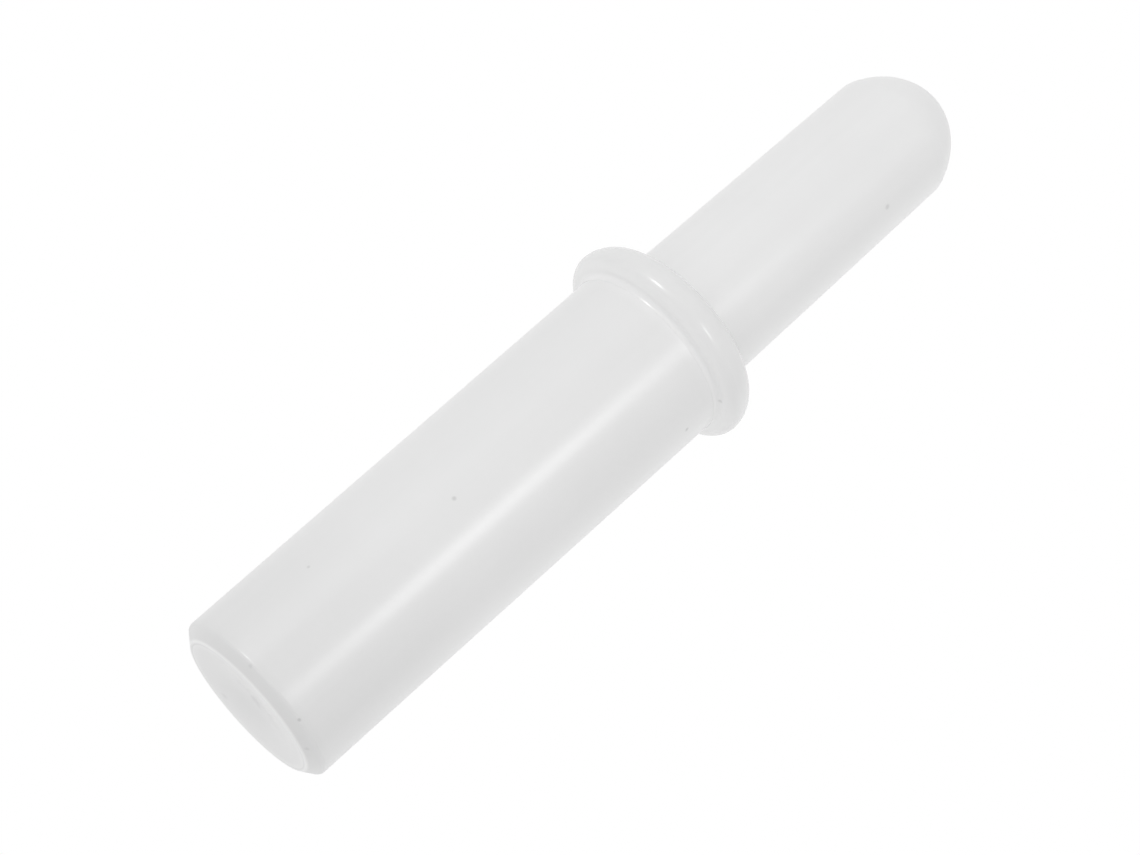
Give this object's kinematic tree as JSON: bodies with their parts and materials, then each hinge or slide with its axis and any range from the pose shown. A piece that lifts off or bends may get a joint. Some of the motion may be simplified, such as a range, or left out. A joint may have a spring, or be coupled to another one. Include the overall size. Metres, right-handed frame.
{
  "type": "meat mincer food pusher",
  "caption": "Round plastic food pusher with a chamfered flat end, a rounded stop collar and a narrower handle with a domed top.",
  "frame": {"origin": "middle of the flat pushing end, on the surface that the tool stands on", "axes": "+Z along the tool's axis, from the pushing end to the dome; X and Y are any two directions across, because the tool is round"},
  "size_m": [0.062, 0.062, 0.264],
  "materials": {
    "barrel_plastic": "natural polyethylene, milky, waxy half gloss",
    "plug_plastic": "natural polyethylene, milky, waxy half gloss",
    "collar_plastic": "natural polyethylene, milky, waxy half gloss",
    "handle_plastic": "natural polyethylene, milky, waxy half gloss"
  },
  "bodies": {
    "root": {"barrel": "barrel_plastic", "end_plug": "plug_plastic", "stop_collar": "collar_plastic", "handle": "handle_plastic"}
  },
  "joints": []
}
